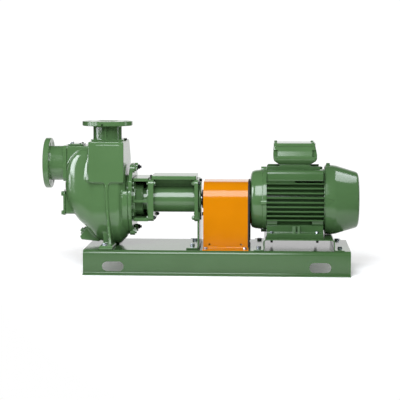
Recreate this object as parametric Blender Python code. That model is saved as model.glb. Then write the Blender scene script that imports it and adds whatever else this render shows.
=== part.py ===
# Self priming centrifugal pump set: the pump and its electric motor stand on one folded steel base,
# joined by a flexible coupling under a sheet guard. Lengths below are in millimetres, the scene is in metres.
# X runs along the shaft from the pump to the motor, Y across it, Z up from the floor.
from math import asin, cos, degrees, pi, radians, sin, sqrt

import bmesh
import bpy
from mathutils import Matrix, Vector

MM = 0.001
GAP = 0.3                      # free play between neighbouring pieces

# Shaft line
AXIS_Z = 280.0
SHAFT_R = 19.0
SHAFT_HOLE_R = 24.5            # free hole round the shaft
SHAFT_SEAT_R = SHAFT_R + 0.3   # bearing seat, with its running gap

# Folded base
BASE_X = (-452.0, 586.0)
BASE_TOP = 96.0
BASE_HALF_WIDTH = 188.0
BASE_LIP = 17.0
BASE_SHEET = 5.0
BASE_BENDS = (10.0, 13.5, 13.5, 10.0)   # middle line radii of the four bends
SLOT_X = (-335.0, 469.0)
SLOT_LENGTH = 84.0
SLOT_HEIGHT = 38.0
SLOT_Z = 33.0

# Pipe flanges, both of the 80 mm size
FLANGE_R = 100.0
FLANGE_BORE_R = 40.0
SUCTION_FLANGE_THICK = 22.0
DISCHARGE_FLANGE_THICK = 18.0
FLANGE_HOLE_CIRCLE_R = 80.0
FLANGE_HOLE_R = 9.0
FLANGE_HOLES = 8

# Pump
SUCTION_FACE_X = -622.0
SUCTION_Z = 422.5
SUCTION_NECK_R = 69.5
CHAMBER_LEFT = -530.0
MOUNTING_PLATE_THICK = 15.0
CHAMBER_HALF_WIDTH = 70.0
CHAMBER_Z = (354.0, 494.0)
CHEST_X = (-435.5, -297.0)
CHEST_HALF_DEPTH = 137.0
CHEST_Z = (354.0, 514.0)
DISCHARGE_X = -375.0
DISCHARGE_TOP = 590.0
DISCHARGE_NECK_R = 57.0
REAR_FLANGE_X = -303.0         # the flange that carries the cover starts here
CASING_BACK_X = -281.0
REAR_FLANGE_TOP = 322.0
COVER_R = 143.0
COVER_FRONT_X = -266.5
STUD_Y = 62.0
STUD_Z = 124.0

# Bearing bracket of the pump
LANTERN_END_X = -206.0
LANTERN_HALF_WIDTH = 86.0
SEAL_HOUSING_R = 66.0
PLATE_LEFT_X = (-206.0, -185.0)
PLATE_RIGHT_X = (-23.5, -8.0)
PLATE_HALF_WIDTH = 88.0
PLATE_HALF_HEIGHT = 82.0
HOUSING_R = 53.0
TOP_PLATE_X = (-194.0, -17.0)
TOP_PLATE_THICK = 15.0

LEG_HALF_WIDTH = 150.0
LEG_SHOULDER_Z = 206.0         # the leg is narrower above this height

# Coupling guard
GUARD_X = (13.0, 191.5)
GUARD_HALF_WIDTH = 118.0
GUARD_FOOT = 60.0
GUARD_TOP = 355.0
GUARD_SHEET = 3.0

# Motor of frame size 132: foot holes 216 by 178
FOOT_Z = 142.0
FOOT_HOLE_Y = 108.0
FOOT_HOLE_X = (281.0, 459.0)
FRAME_X = (260.5, 483.0)
FRAME_CORE_R = 107.0
FRAME_FIN_R = 132.0
FRAME_BORE_R = 60.0
FIN_PITCH = 18.0
FAN_COVER_END = 622.0
PEDESTAL_X = (249.5, 524.5)
PEDESTAL_HALF_WIDTH = 180.0
PEDESTAL_SHEET = 4.0


def clear_scene():
    for item in list(bpy.data.objects):
        bpy.data.objects.remove(item, do_unlink=True)


def make_material(name, colour, metallic, roughness):
    material = bpy.data.materials.new(name)
    material.use_nodes = True
    shader = material.node_tree.nodes["Principled BSDF"]
    shader.inputs["Base Color"].default_value = (*colour, 1.0)
    shader.inputs["Metallic"].default_value = metallic
    shader.inputs["Roughness"].default_value = roughness
    return material


def is_flat(face):
    first = face.verts[0].co
    return all(abs((vert.co - first).dot(face.normal)) < 1e-7 for vert in face.verts)


def solid(name, verts, faces, material, smooth=True):
    """One closed mesh from corner points in millimetres, with its faces turned outwards."""
    mesh = bpy.data.meshes.new(name)
    mesh.from_pydata([(x * MM, y * MM, z * MM) for x, y, z in verts], [], faces)
    work = bmesh.new()
    work.from_mesh(mesh)
    bmesh.ops.recalc_face_normals(work, faces=work.faces)
    bmesh.ops.triangulate(work, faces=[face for face in work.faces if len(face.verts) == 4 and not is_flat(face)])
    for face in work.faces:
        face.smooth = smooth
    for edge in work.edges:
        edge.smooth = edge.calc_face_angle(0.0) < radians(32.0)
    work.to_mesh(mesh)
    work.free()
    mesh.materials.append(material)
    item = bpy.data.objects.new(name, mesh)
    bpy.context.scene.collection.objects.link(item)
    return item


def lay(axis, along, a, b):
    """A point from its place along an axis and two sideways measures."""
    return {"X": (along, a, b), "Y": (a, along, b), "Z": (a, b, along)}[axis]


def loft(name, loops, material):
    """A skin over closed loops of equal length, with flat ends."""
    count = len(loops[0])
    verts = [point for loop in loops for point in loop]
    faces = [list(range(count)), list(range((len(loops) - 1) * count, len(loops) * count))]
    for ring in range(len(loops) - 1):
        for i in range(count):
            j = (i + 1) % count
            low, high = ring * count, (ring + 1) * count
            faces.append([low + i, low + j, high + j, high + i])
    return solid(name, verts, faces, material)


def prism(name, outline, axis, lo, hi, material):
    return loft(name, [[lay(axis, at, a, b) for a, b in outline] for at in (lo, hi)], material)


def box(name, x, y, z, material):
    return prism(name, [(y[0], z[0]), (y[1], z[0]), (y[1], z[1]), (y[0], z[1])], "X", x[0], x[1], material)


def rounded_outline(a, b, radius, steps=5):
    """Corner points of a rectangle with rounded corners."""
    points = []
    corners = [(a[1], b[1], 0), (a[0], b[1], 90), (a[0], b[0], 180), (a[1], b[0], 270)]
    for corner_a, corner_b, start in corners:
        centre_a = corner_a - radius if corner_a == a[1] else corner_a + radius
        centre_b = corner_b - radius if corner_b == b[1] else corner_b + radius
        for i in range(steps + 1):
            turn = radians(start + 90.0 * i / steps)
            points.append((centre_a + radius * cos(turn), centre_b + radius * sin(turn)))
    return points


def circle(centre_a, centre_b, radius, count=32, turn=0.0):
    return [(centre_a + radius * cos(turn + 2 * pi * i / count), centre_b + radius * sin(turn + 2 * pi * i / count))
            for i in range(count)]


def turned(name, profile, axis, centre, material, count=40, closed=False):
    """A body of revolution: the profile lists (along, radius), closed into a ring or capped at both ends."""
    verts = [lay(axis, along, a, b) for along, radius in profile for a, b in circle(*centre, radius, count)]
    starts = [number * count for number in range(len(profile))]
    pairs = list(zip(starts, starts[1:]))
    faces = []
    if closed:
        pairs.append((starts[-1], starts[0]))
    else:
        faces = [list(range(count)), list(range(starts[-1], starts[-1] + count))]
    for first, second in pairs:
        for i in range(count):
            j = (i + 1) % count
            faces.append([first + i, first + j, second + j, second + i])
    return solid(name, verts, faces, material)


def disc(name, axis, centre, lo, hi, radius, material, count=40, bevel=0.0):
    profile = [(lo, radius), (hi, radius)]
    if bevel > 0.0:
        profile = [(lo, radius - bevel), (lo + bevel, radius), (hi - bevel, radius), (hi, radius - bevel)]
    return turned(name, profile, axis, centre, material, count)


def tube(name, axis, centre, lo, hi, radius, bore, material, count=40, bevel=0.0):
    profile = [(lo, bore), (lo, radius), (hi, radius), (hi, bore)]
    if bevel > 0.0:
        outer = [(lo, radius - bevel), (lo + bevel, radius), (hi - bevel, radius), (hi, radius - bevel)]
        profile = [(lo, bore)] + outer + [(hi, bore)]
    return turned(name, profile, axis, centre, material, count, closed=True)


def rod(name, start, end, radius, material, count=24):
    """A round bar between any two points."""
    start, end = Vector(start), Vector(end)
    direction = (end - start).normalized()
    side = direction.orthogonal().normalized()
    other = direction.cross(side)
    loops = [[tuple(p + radius * (cos(2 * pi * i / count) * side + sin(2 * pi * i / count) * other))
              for i in range(count)] for p in (start, end)]
    return loft(name, loops, material)


def apply_tool(target, tool, kind):
    step = target.modifiers.new(kind.lower(), "BOOLEAN")
    step.operation = kind
    step.solver = "EXACT"
    step.object = tool
    tool.hide_render = True
    tool.display_type = "WIRE"


def cut(target, *tools):
    for tool in tools:
        apply_tool(target, tool, "DIFFERENCE")


def fuse(target, *tools):
    for tool in tools:
        apply_tool(target, tool, "UNION")


def drill(target, axis, places, radius, lo, hi, count=14):
    """Round holes through the target at the given places."""
    for number, (a, b) in enumerate(places):
        cut(target, disc(f"{target.name}_drill_{axis}{number}_{int(radius)}", axis, (a, b), lo, hi, radius, CUTTER, count))


def hole_circle(centre, radius, count, turn):
    return [(centre[0] + radius * cos(turn + 2 * pi * i / count), centre[1] + radius * sin(turn + 2 * pi * i / count))
            for i in range(count)]


def set_origin(item, point):
    place = Vector(point) * MM
    item.data.transform(Matrix.Translation(-place))
    item.location = place


def bent_sheet(points, radii, thickness, steps=6):
    """Outline of a folded sheet: a middle line with rounded bends, given its thickness."""
    line = [Vector(points[0])]
    for before, corner, after, radius in zip(points, points[1:], points[2:], radii):
        before, corner, after = Vector(before), Vector(corner), Vector(after)
        into, out = (corner - before).normalized(), (after - corner).normalized()
        start, end = corner - into * radius, corner + out * radius
        centre = start + out * radius
        for i in range(steps + 1):
            turn = 0.5 * pi * i / steps
            line.append(centre - out * radius * cos(turn) + into * radius * sin(turn))
    line.append(Vector(points[-1]))
    left, right = [], []
    for i, point in enumerate(line):
        ahead = line[min(i + 1, len(line) - 1)] - line[max(i - 1, 0)]
        normal = Vector((-ahead.y, ahead.x)).normalized() * thickness / 2
        left.append(tuple(point + normal))
        right.append(tuple(point - normal))
    return left + right[::-1]


GREEN = make_material("green enamel", (0.11, 0.21, 0.09), 0.0, 0.25)
ORANGE = make_material("orange enamel", (0.85, 0.33, 0.01), 0.0, 0.3)
STEEL = make_material("bright steel", (0.6, 0.6, 0.6), 1.0, 0.3)
BLACK = make_material("black oxide", (0.02, 0.02, 0.02), 0.3, 0.5)
CUTTER = make_material("cutter", (0.5, 0.0, 0.5), 0.0, 0.5)


def make_base():
    half, mid = BASE_HALF_WIDTH - BASE_SHEET / 2, BASE_SHEET / 2
    edge = BASE_HALF_WIDTH + BASE_LIP
    points = [(-edge, mid), (-half, mid), (-half, BASE_TOP - mid), (half, BASE_TOP - mid), (half, mid), (edge, mid)]
    base = prism("base_frame", bent_sheet(points, BASE_BENDS, BASE_SHEET), "X", BASE_X[0], BASE_X[1], GREEN)
    for x in SLOT_X:
        outline = rounded_outline((x - SLOT_LENGTH / 2, x + SLOT_LENGTH / 2),
                                  (SLOT_Z - SLOT_HEIGHT / 2, SLOT_Z + SLOT_HEIGHT / 2), SLOT_HEIGHT / 2 - 0.01, 8)
        cut(base, prism(f"slot_cutter_{int(x)}", outline, "Y", -250, 250, CUTTER))


def make_suction_nozzle():
    centre = (0.0, SUCTION_Z)
    back = SUCTION_FACE_X + SUCTION_FLANGE_THICK
    plate_x = (CHAMBER_LEFT - MOUNTING_PLATE_THICK, CHAMBER_LEFT - GAP)
    profile = [(SUCTION_FACE_X, FLANGE_BORE_R), (SUCTION_FACE_X, FLANGE_R - 2), (SUCTION_FACE_X + 2, FLANGE_R),
               (back - 2, FLANGE_R), (back, FLANGE_R - 2), (back, SUCTION_NECK_R - 7), (back + 8, SUCTION_NECK_R - 12),
               (plate_x[0] + 2, SUCTION_NECK_R - 12), (plate_x[0] + 2, FLANGE_BORE_R)]
    nozzle = turned("suction_nozzle", profile, "X", centre, GREEN, 56, closed=True)
    neck = prism("suction_neck_body", circle(0.0, SUCTION_Z, SUCTION_NECK_R, 12, pi / 12), "X", back - 4,
                 plate_x[0] + 4, GREEN)
    chamfer, side, (low, high) = 13.0, CHAMBER_HALF_WIDTH, CHAMBER_Z
    outline = [(side, low + chamfer), (side, high - chamfer), (side - chamfer, high), (chamfer - side, high),
               (-side, high - chamfer), (-side, low + chamfer), (chamfer - side, low), (side - chamfer, low)]
    fuse(nozzle, neck, prism("suction_mounting_plate", outline, "X", plate_x[0], plate_x[1], GREEN))
    cut(nozzle, disc("suction_bore", "X", centre, -630, -520, FLANGE_BORE_R, CUTTER, 32))
    drill(nozzle, "X", hole_circle(centre, FLANGE_HOLE_CIRCLE_R, FLANGE_HOLES, pi / 8), FLANGE_HOLE_R, -630, back + 1)


# Stations along the belly of the casing: X, lowest Z, highest Z, half width
BELLY = [(-539, 318, 362, 60), (-536, 291, 400, 90), (-528, 264, 424, 108), (-517, 238, 445, 118), (-503, 214, 462, 124),
         (-483, 188, 477, 128), (-458, 166, 486, 130), (-430, 134, 489, 130), (-405, 114, 489, 130), (-372, 104, 489, 130),
         (-342, 101, 489, 130), (-321, 103, 480, 130), (-309, 113, 458, 124), (-300, 122, 436, 118), (-292, 131, 422, 112)]
BELLY_MIDDLE_Z = 270.0
# Path of the web down to the foot: Z, X, how far it stands out
RIB_PATH = [(358, -364, 137), (287, -364, 139), (228, -360, 141), (177, -356, 146), (132, -350, 155), (110, -348, 166)]


def belly_loop(x, low, high, width, count=48):
    """An egg shaped section, squarer above the middle height than below it."""
    middle = min(max(BELLY_MIDDLE_Z, low + 0.4 * (high - low)), high - 0.4 * (high - low))
    points = []
    for i in range(count):
        turn = 2 * pi * (i + 0.5) / count
        side, rise = cos(turn), sin(turn)
        power = 0.55 if rise > 0 else 0.92
        height = (high - middle) if rise > 0 else (middle - low)
        across = width * abs(side) ** power * (1 if side > 0 else -1)
        points.append((x, across, middle + height * abs(rise) ** power * (1 if rise > 0 else -1)))
    return points


def make_rib(side):
    """The web that runs down the side of the casing to its foot."""
    loops = []
    for z, x, reach in RIB_PATH:
        loops.append([(x + dx, side * y, z) for dx, y in ((-4.5, 90), (4.5, 90), (4.5, reach), (-4.5, reach))])
    return loft(f"casing_rib_{side}", loops, GREEN)


def make_rear_flange():
    """The ring behind the belly that carries the casing cover; it stops below the chest."""
    radius = COVER_R - 1.5
    first = degrees(asin((REAR_FLANGE_TOP - AXIS_Z) / radius))
    turns = [radians(180 - first + (180 + 2 * first) * i / 40) for i in range(41)]
    outline = [(radius * cos(turn), AXIS_Z + radius * sin(turn)) for turn in turns]
    return prism("casing_rear_flange", outline, "X", REAR_FLANGE_X, CASING_BACK_X, GREEN)


def make_casing_foot(side):
    """Foot plate and the short block that joins it to the belly."""
    low = BASE_TOP + GAP
    outline = [(-390, low), (-337, low), (-337, 112), (-385, 112), (-390, 107)]
    plate = prism(f"casing_foot_{side}", outline, "Y", *sorted((side * 60, side * 180)), GREEN)
    block = box(f"casing_foot_block_{side}", (-383, -346), sorted((side * 61, side * 100)), (104, 168), GREEN)
    return plate, block


def make_casing():
    casing = loft("pump_casing", [belly_loop(*station) for station in BELLY], GREEN)
    cut(casing, box("belly_relief", (-570, CHAMBER_LEFT), (-120, 120), (CHAMBER_Z[0] - 0.7, 520), CUTTER))
    chest = prism("chest_body", rounded_outline(CHEST_X, (-CHEST_HALF_DEPTH, CHEST_HALF_DEPTH), 9.0), "Z",
                  CHEST_Z[0], CHEST_Z[1], GREEN)
    inset = CHAMBER_HALF_WIDTH - 2
    chamber = prism("valve_chamber_body", rounded_outline((-inset, inset), (CHAMBER_Z[0] + 1, CHAMBER_Z[1]), 10.0),
                    "X", CHAMBER_LEFT, CHEST_X[0] + 20, GREEN)
    neck = disc("casing_neck", "X", (0.0, AXIS_Z), -330, CASING_BACK_X, 95, GREEN, 48)
    fuse(casing, chest, chamber, neck, make_rear_flange())
    fuse(casing, prism("inspection_boss", rounded_outline((-42, 42), (220, 308), 10.0), "X", -541, -480, GREEN))
    drain = [(-400, 118), (-409, 109), (-480, 116), (-487, 128.5), (-459, 169), (-400, 190)]
    fuse(casing, prism("drain_boss", drain, "Y", -26, 26, GREEN))
    for side in (-1, 1):
        fuse(casing, *make_casing_foot(side), make_rib(side))
    cut(casing, prism("chest_far_slope", [(74, 520), (142, 421), (142, 520)], "X", -450, -290, CUTTER))
    cut(casing, disc("chamber_bore", "X", (0.0, SUCTION_Z), -560, -450, FLANGE_BORE_R, CUTTER, 32))
    cut(casing, disc("chest_bore", "Z", (DISCHARGE_X, 0.0), 400, 560, FLANGE_BORE_R, CUTTER, 32))


def make_discharge_nozzle():
    centre = (DISCHARGE_X, 0.0)
    low = DISCHARGE_TOP - DISCHARGE_FLANGE_THICK
    foot = CHEST_Z[1] + GAP
    profile = [(foot, FLANGE_BORE_R), (foot, DISCHARGE_NECK_R + 4), (foot + 4, DISCHARGE_NECK_R), (low - 5, DISCHARGE_NECK_R),
               (low, DISCHARGE_NECK_R + 5), (low, FLANGE_R - 2), (low + 2, FLANGE_R), (DISCHARGE_TOP - 2, FLANGE_R),
               (DISCHARGE_TOP, FLANGE_R - 2), (DISCHARGE_TOP, FLANGE_BORE_R)]
    nozzle = turned("discharge_nozzle", profile, "Z", centre, GREEN, 56, closed=True)
    fuse(nozzle, prism("discharge_base_plate", rounded_outline((-434, -305), (-70, 70), 6.0), "Z", foot, foot + 5.2, GREEN))
    cut(nozzle, disc("discharge_bore", "Z", centre, foot - 5, DISCHARGE_TOP + 5, FLANGE_BORE_R, CUTTER, 32))
    for side in (-1, 1):
        rib = prism(f"discharge_rib_{side}", [(side * 50, foot), (side * 66, foot), (side * 66, low + 3), (side * 50, low + 3)],
                    "X", DISCHARGE_X - 4, DISCHARGE_X + 4, GREEN)
        fuse(nozzle, rib)
    drill(nozzle, "Z", hole_circle(centre, FLANGE_HOLE_CIRCLE_R, FLANGE_HOLES, pi / 8), FLANGE_HOLE_R, low - 1, 600)


def make_small_covers():
    low = CHAMBER_Z[1] + GAP
    prism("priming_cover", rounded_outline((-528, -468), (-44, 44), 8.0), "Z", low, low + 6, GREEN)
    prism("inspection_cover", rounded_outline((-48, 48), (216, 312), 10.0), "X", -549, -541 - GAP, GREEN)
    step = Vector((-40.5, 0, 28)).normalized()
    start = Vector((-473, 0, 148.75)) + step * GAP
    plug = rod("drain_plug", start, start + step * 6, 17, BLACK)
    fuse(plug, rod("drain_plug_square", start + step * 4, start + step * 13, 10, BLACK, 4))


def make_casing_cover():
    centre = (0.0, AXIS_Z)
    back = CASING_BACK_X + GAP
    profile = [(back, SHAFT_SEAT_R), (back, COVER_R - 2), (back + 2, COVER_R), (COVER_FRONT_X - 3, COVER_R),
               (COVER_FRONT_X, COVER_R - 3), (COVER_FRONT_X, SHAFT_SEAT_R)]
    cover = turned("casing_cover", profile, "X", centre, GREEN, 64, closed=True)
    for y in (-STUD_Y, STUD_Y):
        for z in (AXIS_Z - STUD_Z, AXIS_Z + STUD_Z):
            fuse(cover, disc(f"cover_ear_{int(y)}_{int(z)}", "X", (y, z), -279, -260, 15, GREEN, 20))


def make_lantern():
    """Bracket of flat webs above, below and at mid height, open on the near side, round the seal housing."""
    start, end = COVER_FRONT_X + GAP, LANTERN_END_X - GAP
    lantern = tube("bearing_lantern", "X", (0.0, AXIS_Z), start, start + 8, 84, SEAL_HOUSING_R + GAP, GREEN, 56)
    span = (-LANTERN_HALF_WIDTH, LANTERN_HALF_WIDTH)
    fuse(lantern, box("lantern_roof", (start + 2, end), span, (356, 368), GREEN))
    fuse(lantern, box("lantern_floor", (start + 2, end), span, (198, 212), GREEN))
    for side in (-1, 1):
        near = sorted((side * (SEAL_HOUSING_R + 1), side * LANTERN_HALF_WIDTH))
        fuse(lantern, box(f"lantern_web_{side}", (start + 2, end), near, (273, 283), GREEN))
    fuse(lantern, box("lantern_far_wall", (start + 3, end), (78, LANTERN_HALF_WIDTH - 1), (205, 362), GREEN))
    fuse(lantern, tube("lantern_ring", "X", (0.0, AXIS_Z), -212, end, 79, 36, GREEN, 56))
    bore = SHAFT_R + 13
    profile = [(start, bore), (start, SEAL_HOUSING_R), (-232, SEAL_HOUSING_R), (-228, SEAL_HOUSING_R - 4), (-228, 40),
               (-212.5, 40), (-212.5, bore)]
    turned("seal_housing", profile, "X", (0.0, AXIS_Z), GREEN, 48, closed=True)


def make_bearing_bracket():
    centre = (0.0, AXIS_Z)
    span_y = (-PLATE_HALF_WIDTH, PLATE_HALF_WIDTH)
    span_z = (AXIS_Z - PLATE_HALF_HEIGHT, AXIS_Z + PLATE_HALF_HEIGHT)
    for name, x in (("bearing_plate_pump_side", PLATE_LEFT_X), ("bearing_plate_motor_side", PLATE_RIGHT_X)):
        plate = prism(name, rounded_outline(span_y, span_z, 16.0), "X", x[0], x[1], GREEN)
        cut(plate, disc(f"{name}_bore", "X", centre, x[0] - 2, x[1] + 2, SHAFT_SEAT_R, CUTTER, 32))
    inner = (PLATE_LEFT_X[1] + GAP, PLATE_RIGHT_X[0] - GAP)
    low = span_z[1] + GAP
    housing = tube("bearing_housing", "X", centre, inner[0], inner[1], HOUSING_R, 30.0, GREEN, 48)
    fuse(housing, box("housing_saddle", (inner[0] + 1, inner[1] - 1), (-30, 30), (AXIS_Z + 42, low - GAP), GREEN))
    prism("bracket_top_plate", rounded_outline(TOP_PLATE_X, (-75, 75), 5.0), "Z", low, low + TOP_PLATE_THICK, GREEN)
    disc("oil_plug", "Z", (-200.5, 0.0), low, low + 13, 5, BLACK, 20, 1.0)
    x = PLATE_RIGHT_X[1] + GAP
    tube("bearing_cover", "X", centre, x, x + 9, 70, SHAFT_HOLE_R, GREEN, 48, 2.0)


def make_support_leg():
    """Folded plate bolted to the outer face of the bracket, arched round the bearing cover."""
    x, thick = PLATE_RIGHT_X[1] + GAP, 6.0
    low = BASE_TOP + GAP + thick / 2
    outline = bent_sheet([(x - 44, low), (x + thick / 2, low), (x + thick / 2, 236)], [9.0], thick)
    leg = prism("support_leg", outline, "Y", -LEG_HALF_WIDTH, LEG_HALF_WIDTH, GREEN)
    cut(leg, disc("leg_arch", "X", (0.0, AXIS_Z), x - 2, x + 9, 73, CUTTER, 56))
    for side in (-1, 1):
        slope = [(side * 90, 240), (side * 90, LEG_SHOULDER_Z + 6), (side * 96, LEG_SHOULDER_Z), (side * 170, LEG_SHOULDER_Z),
                 (side * 170, 240)]
        cut(leg, prism(f"leg_slope_{side}", slope, "X", x - 2, x + 9, CUTTER))
    drill(leg, "Z", [(-31, -78), (-31, 78)], 7, 90, 110)


def make_guard():
    half, mid = GUARD_HALF_WIDTH - GUARD_SHEET / 2, GUARD_SHEET / 2
    low, high = BASE_TOP + GAP + mid, GUARD_TOP - mid
    edge = GUARD_HALF_WIDTH + GUARD_FOOT
    points = [(-edge, low), (-half, low), (-half, high), (half, high), (half, low), (edge, low)]
    outline = bent_sheet(points, [6.0, 68.0, 68.0, 6.0], GUARD_SHEET, 10)
    guard = prism("coupling_guard", outline, "X", GUARD_X[0], GUARD_X[1], ORANGE)
    drill(guard, "Z", [(x, y) for x in (24.7, 177.6) for y in (-150, 150)], 5, 90, 106)
    drill(guard, "Y", [(38.5, 112.5), (162.5, 112.5)], 3, -130, 130)


def make_pedestal():
    mid = PEDESTAL_SHEET / 2
    low, high = BASE_TOP + GAP + mid, FOOT_Z - mid
    left, right = PEDESTAL_X[0] + mid, PEDESTAL_X[1] - mid
    points = [(left - 40, low), (left, low), (left, high), (right, high), (right, low), (right + 40, low)]
    pedestal = prism("motor_pedestal", bent_sheet(points, [7.0, 10.0, 10.0, 7.0], PEDESTAL_SHEET), "Y",
                     -PEDESTAL_HALF_WIDTH, PEDESTAL_HALF_WIDTH, GREEN)
    drill(pedestal, "Z", [(x, y) for x in FOOT_HOLE_X for y in (-FOOT_HOLE_Y, FOOT_HOLE_Y)], 6, 130, 150)
    drill(pedestal, "Z", [(x, y) for x in (231, 546) for y in (-122, 122)], 6, 90, 108)


def finned_outline(core, fins):
    """Section of a finned frame: every fin is (direction in degrees, side offset, half width, height)."""
    outline, last_turn = [], None
    for direction, offset, half, height in fins:
        forward = Vector((cos(radians(direction)), sin(radians(direction))))
        side = Vector((-forward.y, forward.x))
        first_turn = direction + degrees(asin((offset - half) / core))
        if last_turn is not None:
            outline += arc_between(core, last_turn, first_turn)
        for across, reach in ((offset - half, 0), (offset - half, height), (offset + half, height), (offset + half, 0)):
            along = reach or sqrt(core ** 2 - across ** 2)
            point = forward * along + side * across
            outline.append((point.x, AXIS_Z + point.y))
        last_turn = direction + degrees(asin((offset + half) / core))
    outline += arc_between(core, last_turn, 360 + fins[0][0] + degrees(asin((fins[0][1] - fins[0][2]) / core)))
    return outline


def arc_between(radius, start, end):
    """Points between two turns in degrees, none where they lie close together."""
    steps = int((end - start) // 6)
    return [(radius * cos(radians(start + (end - start) * i / steps)),
             AXIS_Z + radius * sin(radians(start + (end - start) * i / steps))) for i in range(1, steps)]


def side_fins(direction):
    fins = []
    for i in range(-4, 5):
        offset = i * FIN_PITCH
        fins.append((direction, offset, 3.0, sqrt(FRAME_FIN_R ** 2 - offset ** 2)))
    return fins


def make_motor_frame():
    top = [(90, -66, 2.5, 136.0), (90, 0, 61.0, 118.0), (90, 66, 2.5, 136.0)]
    bottom = [(270, offset, 2.0, 116.0) for offset in (-32, -16, 0, 16, 32)]
    fins = side_fins(0) + top + side_fins(180) + bottom
    frame = prism("motor_frame", finned_outline(FRAME_CORE_R, fins), "X", FRAME_X[0], FRAME_X[1], GREEN)
    for side in (-1, 1):
        shoulder = [(side * y, z) for y, z in ((67, 352), (67, 405), (113, 405), (120, 402), (124.5, 396), (126, 388),
                                               (126, 370), (123, 364), (100, 361))]
        fuse(frame, prism(f"frame_shoulder_{side}", shoulder, "X", FRAME_X[0] + 3, FRAME_X[1] - 3, GREEN))
        root = [(side * y, z) for y, z in ((67, 350), (67, 366), (116, 366), (107, 353))]
        fuse(frame, prism(f"frame_shoulder_root_{side}", root, "X", FRAME_X[0] + 4, 372, GREEN))
    cut(frame, box("top_fin_ends", (468, FRAME_X[1] + 5), (-75, 75), (405.5, 440), CUTTER))
    cut(frame, prism("top_fin_starts", [(256, 406), (272, 422), (256, 422)], "Y", -75, 75, CUTTER))
    cut(frame, disc("frame_bore", "X", (0.0, AXIS_Z), FRAME_X[0] - 5, FRAME_X[1] + 5, FRAME_BORE_R, CUTTER, 40))


def make_motor_feet():
    """Feet with a flat flange, an upright wall under the frame, thick ends and two gussets."""
    low = FOOT_Z + GAP
    for name, side in (("motor_foot_near", -1), ("motor_foot_far", 1)):
        turns = [radians(-46 - 22 * i / 6) for i in range(7)]
        arc = [(side * (FRAME_CORE_R + GAP) * cos(t), AXIS_Z + (FRAME_CORE_R + GAP) * sin(t)) for t in turns]
        section = [(42, low), (130, low), (130, 156), (127, 158.5), (98, 158.5), (95.5, 163), (95.5, 184), (93, 188), (84, 191)]
        outline = arc + [(side * y, z) for y, z in section]
        foot = prism(name, outline, "X", FRAME_X[0] + 1, FRAME_X[1] - 1, GREEN)
        end_block = [(side * y, z) for y, z in ((82, 186), (94, 186), (101, 192), (103, 204.4), (80, 204.4))]
        gusset = [(side * y, z) for y, z in ((92, 157), (126, 157), (106, 186), (92, 186))]
        for number, (lo, hi) in enumerate(((FRAME_X[0] + 2, 302), (438, FRAME_X[1] - 2))):
            fuse(foot, prism(f"{name}_end_{number}", end_block, "X", lo, hi, GREEN))
        for number, (lo, hi) in enumerate(((361, 374), (382, 391))):
            fuse(foot, prism(f"{name}_gusset_{number}", gusset, "X", lo, hi, GREEN))
        drill(foot, "Z", [(x, side * FOOT_HOLE_Y) for x in FOOT_HOLE_X], 6, 140, 168)


def make_motor_shields():
    centre = (0.0, AXIS_Z)
    end = FRAME_X[0] - GAP
    profile = [(196, SHAFT_SEAT_R), (196, 92), (198, 102), (203, 111), (209, 114), (216, 116), (233, 118), (244, 120),
               (246, 124), (end, 124), (end, SHAFT_SEAT_R)]
    shield = turned("drive_end_shield", profile, "X", centre, GREEN, 64, closed=True)
    for turn in range(0, 360, 90):
        place = (119 * cos(radians(turn)), AXIS_Z + 119 * sin(radians(turn)))
        fuse(shield, disc(f"shield_lug_{turn}", "X", place, 238, end, 11.5, GREEN, 20))
    start = FRAME_X[1] + GAP
    tube("fan_end_shield", "X", centre, start, start + 14, 122, SHAFT_SEAT_R, GREEN, 64)


def make_fan_cover():
    centre = (0.0, AXIS_Z)
    outer = [(490, 136.5), (518, 137.5), (534, 135), (552, 129.5), (584, 120), (611, 111.5), (618, 107), (622, 98)]
    inner = [(490, 133.5), (518, 134.5), (533, 132), (551, 126.5), (583, 117), (610, 108.5), (616, 104.5), (619, 97)]
    cover = turned("fan_cover", outer[::-1] + inner, "X", centre, GREEN, 64)
    for ring, count in ((34, 6), (56, 8), (78, 12)):
        for i in range(count):
            start = 360.0 * i / count + 3.1
            turns = [radians(start + (360.0 / count - 700.0 / ring) * k / 4) for k in range(5)]
            arc = [(r * cos(t), AXIS_Z + r * sin(t)) for r, line in ((ring + 5, turns), (ring - 5, turns[::-1])) for t in line]
            cut(cover, prism(f"grille_{ring}_{i}", arc, "X", 605, 630, CUTTER))


def make_terminal_box():
    prism("terminal_box_neck", rounded_outline((308, 432.5), (-60, 60), 8.0), "Z", AXIS_Z + 118 + GAP, 424 - GAP, GREEN)
    loops = []
    for z, left, right, side in ((424, 307, 434, 61), (437, 289, 453, 74), (447, 286, 457, 77), (461, 285, 457, 76),
                                 (472, 285.5, 455, 70.5), (496, 287, 450, 68)):
        loops.append([(x, y, z) for x, y in rounded_outline((left, right), (-side, side), 9.0)])
    loft("terminal_box", loops, GREEN)
    lid = prism("terminal_box_lid", rounded_outline((287, 450), (-70, 70), 10.0), "Z", 496 + GAP, 507, GREEN)
    drill(lid, "Z", [(x, y) for x in (296, 441) for y in (-61, 61)], 3, 490, 520, 12)


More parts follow.
